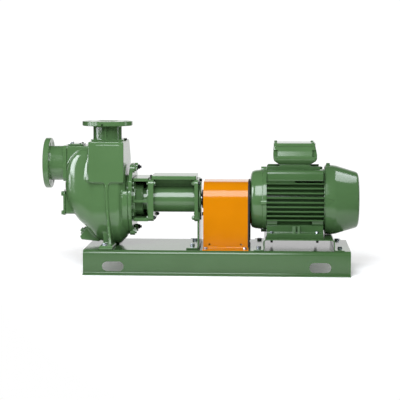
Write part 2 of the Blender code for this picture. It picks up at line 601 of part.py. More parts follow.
def make_rotor():
    centre = (0.0, AXIS_Z)
    bore = SHAFT_R + GAP
    hub = [(3.5, bore), (3.5, 35), (5.5, 37), (22, 37), (22, 56), (24, 58), (66, 58), (68, 56), (68, bore)]
    pieces = [
        disc("pump_shaft", "X", centre, CASING_BACK_X + 1, 68, SHAFT_R, STEEL, 32),
        turned("coupling_hub_pump", hub, "X", centre, BLACK, 40, closed=True),
        tube("coupling_insert", "X", centre, 68 + GAP, 90 - GAP, 56, 20, BLACK, 40),
        tube("coupling_hub_motor", "X", centre, 90, 168, 58, SHAFT_R + GAP, BLACK, 40, 2.0),
        disc("motor_shaft", "X", centre, 90, 550, SHAFT_R, STEEL, 32),
    ]
    fan = tube("cooling_fan", "X", centre, 514, 550, 34, SHAFT_R + GAP, BLACK, 32)
    for i in range(7):
        turn = 2 * pi * i / 7
        outline = [(30 * cos(turn) - 2.5 * sin(turn), 30 * sin(turn) + 2.5 * cos(turn)),
                   (30 * cos(turn) + 2.5 * sin(turn), 30 * sin(turn) - 2.5 * cos(turn)),
                   (100 * cos(turn) + 2.5 * sin(turn), 100 * sin(turn) - 2.5 * cos(turn)),
                   (100 * cos(turn) - 2.5 * sin(turn), 100 * sin(turn) + 2.5 * cos(turn))]
        fuse(fan, prism(f"fan_blade_{i}", [(a, AXIS_Z + b) for a, b in outline], "X", 516, 548, BLACK))
    for piece in pieces + [fan]:
        set_origin(piece, (0.0, 0.0, AXIS_Z))


clear_scene()
make_base()
make_suction_nozzle()
make_casing()
make_discharge_nozzle()
make_small_covers()
make_casing_cover()
make_lantern()
make_bearing_bracket()
make_support_leg()
make_guard()
make_pedestal()
make_motor_frame()
make_motor_feet()
make_motor_shields()
make_fan_cover()
make_terminal_box()
make_rotor()
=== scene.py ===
from math import atan, cos, pi, radians, sin, sqrt

import bpy
from mathutils import Matrix, Vector


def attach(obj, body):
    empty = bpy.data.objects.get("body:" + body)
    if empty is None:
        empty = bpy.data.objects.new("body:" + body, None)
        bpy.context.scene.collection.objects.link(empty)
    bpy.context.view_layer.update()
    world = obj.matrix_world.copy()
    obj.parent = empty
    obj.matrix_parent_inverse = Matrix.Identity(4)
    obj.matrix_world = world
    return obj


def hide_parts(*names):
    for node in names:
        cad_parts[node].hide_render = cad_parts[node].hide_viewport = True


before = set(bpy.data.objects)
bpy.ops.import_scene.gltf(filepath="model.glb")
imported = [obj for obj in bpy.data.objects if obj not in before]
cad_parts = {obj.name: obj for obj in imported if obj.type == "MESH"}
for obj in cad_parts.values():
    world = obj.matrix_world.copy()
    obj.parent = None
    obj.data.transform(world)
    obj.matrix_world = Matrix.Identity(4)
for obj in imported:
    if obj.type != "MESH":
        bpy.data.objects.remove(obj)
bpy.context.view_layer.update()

MM = 0.001
FIXED, TURNING = "pump_set", "rotor"
SIDES = (-1, 1)                # near and far side
UP, DOWN, LEFT, RIGHT = (0, 0, 1), (0, 0, -1), (-1, 0, 0), (1, 0, 0)


def span(node, axis):
    """Lowest and highest coordinate of a CAD solid along an axis, to a hundredth of a millimetre."""
    values = [vert.co["XYZ".index(axis)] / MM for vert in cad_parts[node].data.vertices]
    return round(min(values), 2), round(max(values), 2)


AXIS_Z = 280.0                 # the shaft line
GAP = 0.3                      # free play that the solids keep between neighbours
SEAT = 0.1                     # how far a bolt on a remeshed or rounded face stands off it

# Edges: how far they are broken, and in how many steps
CAST_EDGE, PLATE_EDGE, COVER_EDGE, IRON_EDGE = (2.0, 3), (1.8, 3), (2.0, 2), (1.5, 2)
SMALL_EDGE, FINE_EDGE, GUARD_EDGE = (1.0, 2), (0.8, 2), (0.4, 2)
HEAD_EDGE, WASHER_EDGE, STUD_EDGE = (0.6, 2), (0.3, 1), (0.7, 1)
SHARP_ANGLE = 32.0             # edges sharper than this are broken and shaded sharp
FLAT_ANGLE = 0.8               # triangles that meet at less than this are one face
CASTING_VOXEL = 2.6            # size of the grid that melts the casing's shapes into one
CASTING_SMOOTHING = 4
CASTING_SHARP_ANGLE = 50.0

# Stations along the belly: X, lowest Z, highest Z, half width
BELLY = [(-539, 318, 362, 50), (-536, 291, 400, 64), (-528, 264, 424, 82), (-517, 238, 446, 95),
         (-503, 214, 464, 104), (-483, 188, 479, 110), (-458, 166, 486, 114), (-430, 134, 489, 119),
         (-405, 114, 489, 125), (-372, 104, 489, 130), (-342, 101, 489, 130), (-321, 103, 480, 129),
         (-311, 113, 458, 122), (-302, 122, 436, 116), (-294, 131, 422, 112)]
BELLY_POINTS, BELLY_STEPS = 96, 4    # points round a station, and steps from one station to the next
BELLY_WIDEST_Z = 270.0
BELLY_MARGIN = 0.4             # least share of its height above and below the widest line
BELLY_POWER = (0.92, 0.36)     # shape of a station below and above that line: 1 is an ellipse, 0 a box
BELLY_DRAFT = (300.0, 0.0006)  # from this height up it narrows by this share a millimetre
# Room for the suction nozzle in front of the belly
NOSE_RELIEF = ((-570, -530), (-120, 120), (353.3, 520))

# Flange and neck at the back of the casing
REAR_FLANGE_X, REAR_FLANGE_R = (-305, -281), 141.5
REAR_FLANGE_TOP = 322
REAR_FLANGE_CUT = ((-320, -270), (-150, 150), (REAR_FLANGE_TOP, 460))
REAR_NECK_X, REAR_NECK_R = (-330, -281), 95

# Valve chest, a box with rounded lower corners, and the bores of both pipes
CHEST_X = (-435.5, -297)
CHEST_Z = (354, span("pump_casing", "Z")[1])
CHEST_HALF_DEPTH = 137
CHEST_RADII = (3, 5, 5, 13)    # low right, top right, top left and low left
# A shallow step along the top of its near and far face
CHEST_STEP = ((-409, -308), (135.5, 140), (500, 520))
CHEST_SLOPE = [(74, 520), (142, 421), (142, 520)]    # cut off its far top edge, as (Y, Z)
CHEST_SLOPE_X = (-450, -290)
SUCTION_Z, SUCTION_BORE_X = 422.5, (-560, -450)
DISCHARGE_X, DISCHARGE_BORE_Z = -375, (400, 560)
BORE_R = 40

# The hollow curve where the belly runs out to the chest: X at its chest end, half width at its belly end
VALLEY_X, VALLEY_Y = -434, 105
VALLEY_R, VALLEY_TURN, VALLEY_STEP = 60, 50, 5
VALLEY_BACK_Y = 40
# Its heights, and the share of the full width that it reaches at each
VALLEY_REACH = ((358, 1.0), (374, 0.99), (390, 0.975), (406, 0.955), (422, 0.925), (438, 0.875), (454, 0.79))

# Valve chamber and the bosses of the inspection cover and the drain plug
CHAMBER = {"a": (-68, 68), "b": (355, 494), "radius": 4.0}
CHAMBER_X = (-530, -415)
INSPECTION_BOSS = {"a": (-42, 42), "b": (220, 308), "radius": 10.0}
INSPECTION_BOSS_X = (-541, -480)
DRAIN_BOSS = [(-400, 118), (-409, 109), (-480, 116), (-487, 128.5), (-459, 169), (-400, 190)]
DRAIN_BOSS_HALF_WIDTH = 26

# Casing feet: plate, the block that joins it to the belly, and the web above it
CASING_FOOT_X, CASING_FOOT_Y = (-390, -337), (60, 180)
CASING_FOOT_TOP = 112
CASING_FOOT_CHAMFER = 5
FOOT_BLOCK_X, FOOT_BLOCK_Y, FOOT_BLOCK_Z = (-383, -346), (61, 100), (104, 168)
WEB_ROOT_Y = 90
# Path of the web down to the foot: Z, X, how far it stands out, half its thickness
WEB = [(360, -364, 137, 17), (353, -364, 137, 13), (347, -364, 137, 9), (340, -364, 138, 6.5),
       (330, -364, 138, 5.2), (287, -364, 139, 5), (228, -360, 141, 5), (177, -356, 146, 5),
       (132, -350, 155, 5), (108, -348, 168, 5)]

# Cuts in the other pieces: X, Y and Z ranges, an outline across the cut, or a place and a radius
RIM_HOLE_X, RIM_HOLE_Z, RIM_HOLE_Y, RIM_HOLE_R = -384, 577, (-105, -88), 4.2
COVER_FLAT = ((-290, -255), (121, 150), (REAR_FLANGE_TOP, 460))
SEAL_HOUSING_FLAT = ((-267, -233), (-70, -52), (200, 360))
SADDLE_RELIEF = [(31, 322.7), (20, 328.3), (9, 331.6), (9, 346), (31, 346)]
SADDLE_RELIEF_X = (-190, -18)
GUARD_HOLE_X, GUARD_HOLE_Z, GUARD_HOLE_R = (38, 161), 113, 3.8
GUARD_HOLE_Y = (-125, 125)
COVER_NOTCH = [(488, 299), (523, 291), (500, 270)]
COVER_NOTCH_Y = (135, 150)
LID_RECESS_X, LID_RECESS_Y, LID_RECESS_Z = ((265, 303), (438, 475)), (60, 95), (453, 480)

# Small pieces
GLAND_X, GLAND_R = (-231, -207.5), 47
TRIM_OUTSIDE, TRIM_INSIDE = 1.4, 5.0    # edge trim of the guard, measured from the guard's outer face
TRIM_OVERLAP, TRIM_LIP = 4.0, 3.0       # and from the guard's end, inwards and outwards
GUARD_END = span("coupling_guard", "X")[1]
TRIM_X = (GUARD_END - TRIM_OVERLAP, GUARD_END + TRIM_LIP)
TRIM_FOOT_Z = 100
GUARD_HALF_WIDTH, GUARD_TOP, GUARD_SHOULDER_R = 118, span("coupling_guard", "Z")[1], 68
LUG = ((493, 511), (-9, 9), (404, 420))

# Hexagon heads by metric size: across flats and height
HEADS = {4: (7, 3), 6: (10, 4), 8: (13, 5.5), 10: (16, 6.5), 12: (18, 8)}
WASHER_THICK = 0.15            # share of the bolt's size
WASHER_R = 0.62                # share of the head's width
CROWN_R = 0.97                 # the turned chamfer, as a share of the corners' radius
HEAD_TURN, HEAD_TURN_STEP = 0.2, 0.4    # in radians: the first head, and each further one

# Places of the fasteners
BASE_TOP = span("base_frame", "Z")[1]
LEG_PLATE, GUARD_SHEET, PEDESTAL_SHEET = 6.0, 3.0, 4.0    # what the bolts in the base hold down
CASING_FOOT_BOLT_X, CASING_FOOT_BOLT_Y = -368, 168
CHEST_PLUG_X = -304
PRIMING_BOLT_X, PRIMING_BOLT_Y = (-521, -480), 34
PRIMING_TOP = span("priming_cover", "Z")[1]
INSPECTION_BOLT_Y, INSPECTION_BOLT_Z = 38, (226, 302)
INSPECTION_FACE = span("inspection_cover", "X")[0]
COVER_BACK, COVER_FRONT = span("casing_cover", "X")[1], -266.5
STUD_Y, STUD_NEAR_Z, STUD_FAR_Z = 62, (156, 404), (160, 403)
LANTERN_BOLTS = ((-86, 330), (-86, 224), (-78, 348), (86, 330), (86, 224))
PLATE_LEFT = span("bearing_plate_pump_side", "X")
PLATE_RIGHT = span("bearing_plate_motor_side", "X")
PLATE_BOLT_Y, PLATE_BOLT_RISE = 74, 68
LEG_FACE = span("support_leg", "X")[1]
LEG_BOLT_X, LEG_BOLT_Y = -31, 78
GUARD_BOLT_X, GUARD_BOLT_Y = (24.7, 177.6), 150
PEDESTAL_BOLT_X, PEDESTAL_BOLT_Y = (231, 546), 122
PEDESTAL_TOP = span("motor_pedestal", "Z")[1]
MOTOR_FOOT_HOLE_X, MOTOR_FOOT_HOLE_Y = (281, 459), 108
MOTOR_FOOT_TOP = 158.5
LID_SCREW_X, LID_SCREW_Y = (295, 440), 61
LID_TOP = span("terminal_box_lid", "Z")[1]

# Finish of paint and of bare material: least and greatest share of the roughness, and strength of the bump
PAINT_SPREAD, METAL_SPREAD = (0.85, 1.2), (0.7, 1.3)
PAINT_BUMP, METAL_BUMP = 0.35, 0.2
METAL_RELIEF = 0.1

# Studio, in metres
AMBIENT = 0.8                  # soft light that reaches the paint from all round
FLOOR_R = 3.0
FLOOR_FADE = (0.75, 1.1)       # the floor fades out between these distances from the origin
LAMP_TINT = (0.96, 0.98, 1.05)
# Place, aim, width and length, radiance, and whether the lamp lights the paint or shows in the gloss alone
LAMPS = {
    "front_box": ((-0.275, -2.2, 2.1), (-0.275, 0, 0.28), (1.15, 2.0), 10.5, True),
    "front_edge": ((0.36, -2.2, 2.1), (0.36, 0, 0.28), (0.12, 2.0), 5.0, True),
    "wing_box": ((-2.76, -1.39, 1.86), (-0.5, -0.1, 1.86), (1.75, 2.74), 15.0, False),
    "low_side_box": ((-3.3, -0.32, 0.36), (-0.4, -0.05, 0.36), (1.1, 0.16), 12.0, False),
    "low_right_box": ((2.9, 0.45, 0.5), (-0.3, 0, 0.5), (0.6, 0.8), 3.0, False),
    "right_box": ((1.6, 0.35, 2.65), (1.6, 0.35, 0), (0.75, 2.0), 7.0, False),
}
CAMERA_PLACE = (0.280, -5.2, 0.80)
# The picture's width and focal length, and how far the camera looks down and to the left, all in pixels
PICTURE_PIXELS, FOCAL_PIXELS, DOWN_PIXELS, LEFT_PIXELS = 400, 1310, 132, 72
SENSOR_WIDTH = 36.0            # of the camera, in its own millimetres


# Colours and materials

def linear(code):
    """Linear colour of an sRGB hex value."""
    parts = [int(code[i:i + 2], 16) / 255 for i in (0, 2, 4)]
    return tuple(c / 12.92 if c <= 0.04045 else ((c + 0.055) / 1.055) ** 2.4 for c in parts) + (1.0,)


def add(tree, kind, settings=(), links=()):
    """Adds a node, sets its properties or sockets, and links other nodes' outputs to it."""
    node = tree.nodes.new(kind)
    for key, value in dict(settings).items():
        if key in node.inputs:
            node.inputs[key].default_value = value
        else:
            setattr(node, key, value)
    for key, (source, output) in dict(links).items():
        tree.links.new(source.outputs[output], node.inputs[key])
    return node


def new_material(name, settings):
    material = bpy.data.materials.new(name)
    material.use_nodes = True
    tree = material.node_tree
    shader = tree.nodes["Principled BSDF"]
    for key, value in settings.items():
        shader.inputs[key].default_value = value
    return material, tree, shader


def spread_of_gloss(tree, shader, noise, roughness, spread):
    """Roughness that follows the noise between two shares of the given value."""
    settings = {"To Min": roughness * spread[0], "To Max": roughness * spread[1]}
    gloss = add(tree, "ShaderNodeMapRange", settings, {"Value": (noise, "Fac")})
    tree.links.new(gloss.outputs["Result"], shader.inputs["Roughness"])


def relief_of_skin(tree, shader, noise, strength, height):
    """A bump that follows the noise, of the given height in millimetres."""
    settings = {"Strength": strength, "Distance": height * MM}
    relief = add(tree, "ShaderNodeBump", settings, {"Height": (noise, "Fac")})
    tree.links.new(relief.outputs["Normal"], shader.inputs["Normal"])


def painted(name, dark, light, roughness, gloss_level, grain_mm, relief_mm):
    """Gloss enamel: a slow drift of colour and gloss, and the fine relief of the skin under it."""
    material, tree, shader = new_material(name, {"Specular IOR Level": gloss_level})
    place = add(tree, "ShaderNodeTexCoord")
    drift = add(tree, "ShaderNodeTexNoise", {"Scale": 9.0, "Detail": 4.0}, {"Vector": (place, "Object")})
    ramp = add(tree, "ShaderNodeValToRGB", {}, {"Fac": (drift, "Fac")})
    for element, position, colour in zip(ramp.color_ramp.elements, (0.3, 0.7), (dark, light)):
        element.position = position
        element.color = linear(colour)
    tree.links.new(ramp.outputs["Color"], shader.inputs["Base Color"])
    spread_of_gloss(tree, shader, drift, roughness, PAINT_SPREAD)
    skin_settings = {"Scale": 1.0 / (grain_mm * MM), "Detail": 3.0}
    skin = add(tree, "ShaderNodeTexNoise", skin_settings, {"Vector": (place, "Object")})
    relief_of_skin(tree, shader, skin, PAINT_BUMP, relief_mm)
    return material


def metal(name, colour, roughness, grain_mm, metallic=1.0):
    """Bare or plated metal, rubber or plastic with a fine uneven finish."""
    material, tree, shader = new_material(name, {"Base Color": linear(colour), "Metallic": metallic})
    place = add(tree, "ShaderNodeTexCoord")
    grain_settings = {"Scale": 1.0 / (grain_mm * MM), "Detail": 4.0}
    grain = add(tree, "ShaderNodeTexNoise", grain_settings, {"Vector": (place, "Object")})
    spread_of_gloss(tree, shader, grain, roughness, METAL_SPREAD)
    relief_of_skin(tree, shader, grain, METAL_BUMP, METAL_RELIEF)
    return material


# Gloss alkyd enamel over sand cast iron: the casting's skin shows as a soft unevenness under the gloss.
CAST_GREEN = painted("gloss_enamel_on_cast_iron", "496840", "4D6C44", 0.13, 0.5, 6.0, 0.2)
# The same enamel over folded steel sheet: flatter, with only a fine orange peel, and darker than on the
# castings as painted shade.
SHEET_GREEN_PAINTED_SHADE = painted("gloss_enamel_on_steel_sheet_painted_shade", "3B5833", "3F5C37", 0.13, 0.4, 4.0, 0.08)
# The same enamel on the drawn sheet of the fan cover, a little darker than on the castings: painted shade.
PRESSED_GREEN_PAINTED_SHADE = painted("gloss_enamel_on_drawn_sheet_painted_shade", "43613B", "47653F", 0.14, 0.45, 4.0, 0.08)
# And over the iron of the motor's finned frame and feet, in a darker tone that is painted shade.
MOTOR_GREEN_PAINTED_SHADE = painted("gloss_enamel_on_finned_iron_painted_shade", "3C5A34", "405E38", 0.15, 0.4, 5.0, 0.12)
# Safety orange enamel over bent steel sheet.
ORANGE = painted("orange_enamel_on_steel_sheet", "B97000", "BF7400", 0.13, 0.3, 4.0, 0.06)
# Zinc plated steel of the bolts and nuts: bright, bluish, slightly cloudy.
ZINC = metal("zinc_plated_steel", "B9BEC6", 0.34, 2.0)
# Black oxide steel: dark, with a low sheen.
BLACK = metal("black_oxide_steel", "16181A", 0.4, 2.0, 0.6)
# Turned carbon steel of the shafts.
STEEL = metal("turned_carbon_steel", "A9ABAD", 0.28, 1.5)
# Grey iron of the coupling hubs, left as cast and blackened.
HUB_IRON = metal("blackened_cast_iron", "1B1C1D", 0.55, 3.0, 0.4)
# Nitrile rubber of the coupling insert and the guard's edge trim.
RUBBER = metal("moulded_nitrile_rubber", "141414", 0.7, 1.5, 0.0)
# Injection moulded polypropylene of the cooling fan.
POLYMER = metal("moulded_polypropylene", "1A1A1A", 0.5, 2.5, 0.0)


# Making meshes

def pick(*items):
    bpy.ops.object.select_all(action="DESELECT")
    for item in items:
        item.select_set(True)
    bpy.context.view_layer.objects.active = items[0]


def from_points(name, verts, faces):
    """A mesh object from points in millimetres."""
    mesh = bpy.data.meshes.new(name)
    mesh.from_pydata([tuple(c * MM for c in v) for v in verts], [], faces)
    item = bpy.data.objects.new(name, mesh)
    bpy.context.scene.collection.objects.link(item)
    return item


def edit(item, *steps):
    """Runs edit mode operators on the whole mesh, each given as (operator, settings)."""
    pick(item)
    bpy.ops.object.mode_set(mode="EDIT")
    bpy.ops.mesh.select_all(action="SELECT")
    for operator, settings in steps:
        operator(**settings)
    bpy.ops.object.mode_set(mode="OBJECT")
    return item


def modify(item, kind, **settings):
    """Adds one modifier and applies it."""
    pick(item)
    step = item.modifiers.new(kind.lower(), kind)
    for key, value in settings.items():
        setattr(step, key, value)
    bpy.ops.object.modifier_apply(modifier=step.name)
    return item


def place_mesh(item):
    """Puts the object's place and turn into its mesh."""
    pick(item)
    bpy.ops.object.transform_apply(location=True, rotation=True, scale=True)
    return item


def outwards(item):
    return edit(item, (bpy.ops.mesh.remove_doubles, {"threshold": 0.01 * MM}),
                (bpy.ops.mesh.normals_make_consistent, {"inside": False}))


def loft(name, loops):
    """Closed loops of equal length, bridged and capped."""
    count = len(loops[0])
    verts = [point for loop in loops for point in loop]
    faces = [list(range(count)), list(range((len(loops) - 1) * count, len(loops) * count))]
    for ring in range(len(loops) - 1):
        for i in range(count):
            j = (i + 1) % count
            low, high = ring * count, (ring + 1) * count
            faces.append([low + i, low + j, high + j, high + i])
    return outwards(from_points(name, verts, faces))


def lay(axis, along, a, b):
    """A point from its place along an axis and two sideways measures."""
    return {"X": (along, a, b), "Y": (a, along, b), "Z": (a, b, along)}[axis]


def across(y, side):
    """A Y range of the far side, or its mirror on the near side."""
    return sorted((side * y[0], side * y[1]))


def extruded(name, outline, axis, low, high):
    return loft(name, [[lay(axis, at, a, b) for a, b in outline] for at in (low, high)])


def block(name, x, y, z):
    bpy.ops.object.select_all(action="DESELECT")
    middle = [(side[0] + side[1]) / 2 * MM for side in (x, y, z)]
    bpy.ops.mesh.primitive_cube_add(size=1.0, location=middle)
    item = bpy.context.active_object
    item.name = name
    item.scale = [abs(side[1] - side[0]) * MM for side in (x, y, z)]
    return place_mesh(item)


def mirrored_blocks(name, x, y, z):
    return [block(f"{name}_{side}", x, across(y, side), z) for side in SIDES]


def cylinder(name, axis, centre, low, high, radius, count):
    bpy.ops.object.select_all(action="DESELECT")
    turn = {"X": (0, pi / 2, 0), "Y": (pi / 2, 0, 0), "Z": (0, 0, 0)}[axis]
    place = lay(axis, (low + high) / 2, *centre)
    bpy.ops.mesh.primitive_cylinder_add(vertices=count, radius=radius * MM, depth=(high - low) * MM,
                                        location=[c * MM for c in place], rotation=turn)
    item = bpy.context.active_object
    item.name = name
    return place_mesh(item)


def arc(a, b, radius, start, sweep, steps):
    """Points on an arc round (a, b), from a starting angle through a sweep, in degrees."""
    turns = [radians(start + sweep * i / steps) for i in range(steps + 1)]
    return [(a + radius * cos(turn), b + radius * sin(turn)) for turn in turns]


def rounded_box_outline(a, b, radius):
    points = []
    corners = ((a[1], b[1], 0), (a[0], b[1], 90), (a[0], b[0], 180), (a[1], b[0], 270))
    for corner_a, corner_b, start in corners:
        centre_a = corner_a + (radius if corner_a == a[0] else -radius)
        centre_b = corner_b + (radius if corner_b == b[0] else -radius)
        points += arc(centre_a, centre_b, radius, start, 90.0, 6)
    return points


def arch(half, top, radius, low):
    """An upside-down U of (across, up) points with rounded shoulders."""
    left = arc(radius - half, top - radius, radius, 180, -90.0, 8)
    right = arc(half - radius, top - radius, radius, 90, -90.0, 8)
    return [(-half, low)] + left + right + [(half, low)]


def joined(name, items):
    """Several meshes as one object."""
    pick(*items)
    if len(items) > 1:
        bpy.ops.object.join()
    items[0].name = name
    items[0].data.name = name
    return items[0]


def cast(name, items):
    """Overlapping shapes melted into one casting with rounded inner and outer corners."""
    item = joined(name, items)
    modify(item, "REMESH", mode="VOXEL", voxel_size=CASTING_VOXEL * MM, use_smooth_shade=True)
    return modify(item, "SMOOTH", factor=0.5, iterations=CASTING_SMOOTHING)


def cut_out(item, *tools):
    for tool in tools:
        modify(item, "BOOLEAN", operation="DIFFERENCE", solver="EXACT", object=tool)
        bpy.data.objects.remove(tool)
    return item


def soften(item, edge):
    """Breaks the sharp edges and shades the rest smooth."""
    width, segments = edge
    modify(item, "BEVEL", width=width * MM, segments=segments, limit_method="ANGLE",
           angle_limit=radians(SHARP_ANGLE), use_clamp_overlap=True)
    pick(item)
    bpy.ops.object.shade_smooth_by_angle(angle=radians(SHARP_ANGLE))
    return modify(item, "WEIGHTED_NORMAL", mode="FACE_AREA", weight=80, keep_sharp=True)


def show(item, material, nodes=(), body=FIXED):
    """Gives a finished piece its material and its body, and hides the CAD nodes that it stands for."""
    item.data.materials.clear()
    item.data.materials.append(material)
    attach(item, body)
    if nodes:
        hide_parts(*nodes)
    return item


def dressed(name, node, material, edge, body=FIXED, cuts=()):
    """A CAD solid's own shape with its triangles joined, the given cuts made and its edges broken."""
    item = bpy.data.objects.new(name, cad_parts[node].data.copy())
    bpy.context.scene.collection.objects.link(item)
    edit(item, (bpy.ops.mesh.remove_doubles, {"threshold": 0.02 * MM}),
         (bpy.ops.mesh.dissolve_limited, {"angle_limit": radians(FLAT_ANGLE)}))
    cut_out(item, *cuts)
    soften(item, edge)
    return show(item, material, (node,), body)


# Fasteners

def hex_head(across_flats, height):
    """A hexagon head standing on the origin along +Z, with its turned chamfer."""
    corner_radius = across_flats / sqrt(3)
    item = cylinder("head", "Z", (0, 0), 0, height, corner_radius, 6)
    crown = cylinder("crown", "Z", (0, 0), -1, height + 1, corner_radius * CROWN_R, 36)
    modify(item, "BOOLEAN", operation="INTERSECT", solver="EXACT", object=crown)
    bpy.data.objects.remove(crown)
    return soften(item, HEAD_EDGE)


def bolt_shape(size, stud, washer):
    """Head, washer and bolt end of a metric bolt of the given size, on the plane Z 0."""
    flats, height = HEADS[size]
    base = WASHER_THICK * size if washer else 0.0
    parts = [hex_head(flats, height)]
    parts[0].location.z = base * MM
    place_mesh(parts[0])
    if washer:
        parts.append(soften(cylinder("washer", "Z", (0, 0), 0, base, flats * WASHER_R, 32), WASHER_EDGE))
    if stud:
        end = base + height + stud
        parts.append(soften(cylinder("stud", "Z", (0, 0), base, end, size / 2, 20), STUD_EDGE))
    return joined("bolt", parts)


def bolts(name, size, places, material, slot, stud=0.0, washer=True):
    """One piece of like bolts: places are (x, y, z, direction), each head turned a little further."""
    pattern = bolt_shape(size, stud, washer)
    copies = []
    for number, (x, y, z, direction) in enumerate(places):
        item = bpy.data.objects.new(f"{name}_{number}", pattern.data.copy())
        bpy.context.scene.collection.objects.link(item)
        turn = Vector((0, 0, 1)).rotation_difference(Vector(direction)).to_matrix().to_4x4()
        spin = Matrix.Rotation(HEAD_TURN_STEP * number + HEAD_TURN, 4, "Z")
        item.data.transform(Matrix.Translation(Vector((x, y, z)) * MM) @ turn @ spin)
        copies.append(item)
    bpy.data.objects.remove(pattern)
    return show(joined(name, copies), material)


def pairs(xs, y, z, direction):
    """Places on the near and the far side, at each of the given X."""
    return [(x, side * y, z, direction) for x in xs for side in SIDES]


# Pump

def belly_loop(x, low, high, width):
    """One closed section across the belly, boxy above its widest line and round below."""
    margin = BELLY_MARGIN * (high - low)
    middle = min(max(BELLY_WIDEST_Z, low + margin), high - margin)
    draft_start, draft_rate = BELLY_DRAFT
    points = []
    for i in range(BELLY_POINTS):
        turn = 2 * pi * (i + 0.5) / BELLY_POINTS
        side, rise = cos(turn), sin(turn)
        power = BELLY_POWER[1] if rise > 0 else BELLY_POWER[0]
        reach = (high - middle) if rise > 0 else (middle - low)
        up = middle + reach * abs(rise) ** power * (1 if rise > 0 else -1)
        draft = 1.0 - draft_rate * max(0.0, up - draft_start)
        points.append((x, draft * width * abs(side) ** power * (1 if side > 0 else -1), up))
    return points


def between(p, q, r, s, t):
    """A value on the smooth curve from q to r, where p comes before q and s after r."""
    return q + 0.5 * t * (r - p + t * (2 * p - 5 * q + 4 * r - s + t * (3 * (q - r) + s - p)))


def smooth_stations(stations):
    """More stations on a smooth curve through the given ones."""
    result = []
    ends = [stations[0]] + list(stations) + [stations[-1]]
    for four in zip(ends, ends[1:], ends[2:], ends[3:]):
        for k in range(BELLY_STEPS):
            result.append(tuple(between(*values, k / BELLY_STEPS) for values in zip(*four)))
    return result + [stations[-1]]


def make_chest():
    """The valve chest with its rounded lower corners and the hollow curves that lead into it."""
    left, right = CHEST_X
    low, top = CHEST_Z
    corners = ((right, low, 270), (right, top, 0), (left, top, 90), (left, low, 180))
    outline = []
    for (x, z, start), radius in zip(corners, CHEST_RADII):
        centre_x = x - radius if x == right else x + radius
        centre_z = z - radius if z == top else z + radius
        outline += arc(centre_x, centre_z, radius, start, 90.0, 6)
    chest = extruded("chest", outline, "Y", -CHEST_HALF_DEPTH, CHEST_HALF_DEPTH)
    cut_out(chest, *mirrored_blocks("chest_step", *CHEST_STEP))
    start = radians(VALLEY_TURN)
    turns = [radians(turn) for turn in range(VALLEY_TURN, -1, -VALLEY_STEP)]
    curve = [(VALLEY_X - VALLEY_R * (sin(start) - sin(turn)), VALLEY_Y + VALLEY_R * (1 - cos(turn)))
             for turn in turns]
    back = [(curve[-1][0], VALLEY_BACK_Y), (VALLEY_X, VALLEY_BACK_Y)]
    parts = [chest]
    for side in SIDES:
        loops = [[(x, side * y * reach, z) for x, y in curve] + [(x, side * y, z) for x, y in back]
                 for z, reach in VALLEY_REACH]
        parts.append(loft(f"valley_{side}", loops))
    return parts


def make_casing_foot(side):
    """Foot plate, the block that joins it to the belly, and the web above it."""
    left, right = CASING_FOOT_X
    low, top, chamfer = BASE_TOP + GAP, CASING_FOOT_TOP, CASING_FOOT_CHAMFER
    outline = [(left, low), (right, low), (right, top), (left + chamfer, top), (left, top - chamfer)]
    plate = extruded(f"foot_{side}", outline, "Y", *across(CASING_FOOT_Y, side))
    foot = block(f"foot_block_{side}", FOOT_BLOCK_X, across(FOOT_BLOCK_Y, side), FOOT_BLOCK_Z)
    root = WEB_ROOT_Y
    loops = [[(x + dx, side * y, z) for dx, y in ((-half, root), (half, root), (half, reach), (-half, reach))]
             for z, x, reach, half in WEB]
    return [plate, foot, loft(f"web_{side}", loops)]


def make_casing():
    belly = loft("belly", [belly_loop(*station) for station in smooth_stations(BELLY)])
    cut_out(belly, block("nose_relief", *NOSE_RELIEF))
    flange = cylinder("rear_flange", "X", (0, AXIS_Z), *REAR_FLANGE_X, REAR_FLANGE_R, 96)
    cut_out(flange, block("flange_top", *REAR_FLANGE_CUT))
    neck = cylinder("rear_neck", "X", (0, AXIS_Z), *REAR_NECK_X, REAR_NECK_R, 64)
    parts = [belly, flange, neck] + make_chest()
    parts.append(extruded("valve_chamber", rounded_box_outline(**CHAMBER), "X", *CHAMBER_X))
    parts.append(extruded("inspection_boss", rounded_box_outline(**INSPECTION_BOSS), "X", *INSPECTION_BOSS_X))
    parts.append(extruded("drain_boss", DRAIN_BOSS, "Y", -DRAIN_BOSS_HALF_WIDTH, DRAIN_BOSS_HALF_WIDTH))
    for side in SIDES:
        parts += make_casing_foot(side)
    casing = cast("casing_casting", parts)
    cut_out(casing, extruded("chest_slope", CHEST_SLOPE, "X", *CHEST_SLOPE_X),
            cylinder("suction_bore", "X", (0, SUCTION_Z), *SUCTION_BORE_X, BORE_R, 64),
            cylinder("discharge_bore", "Z", (DISCHARGE_X, 0), *DISCHARGE_BORE_Z, BORE_R, 64))
    pick(casing)
    bpy.ops.object.shade_smooth_by_angle(angle=radians(CASTING_SHARP_ANGLE))
    show(casing, CAST_GREEN, ("pump_casing",))
    feet = pairs([CASING_FOOT_BOLT_X], CASING_FOOT_BOLT_Y, CASING_FOOT_TOP + SEAT, UP)
    bolts("casing_foot_bolts", 12, feet, ZINC, "base_frame", washer=False)
    bolts("chest_plug", 8, [(CHEST_PLUG_X, 0, CHEST_Z[1] + SEAT, UP)], BLACK, "pump_casing")


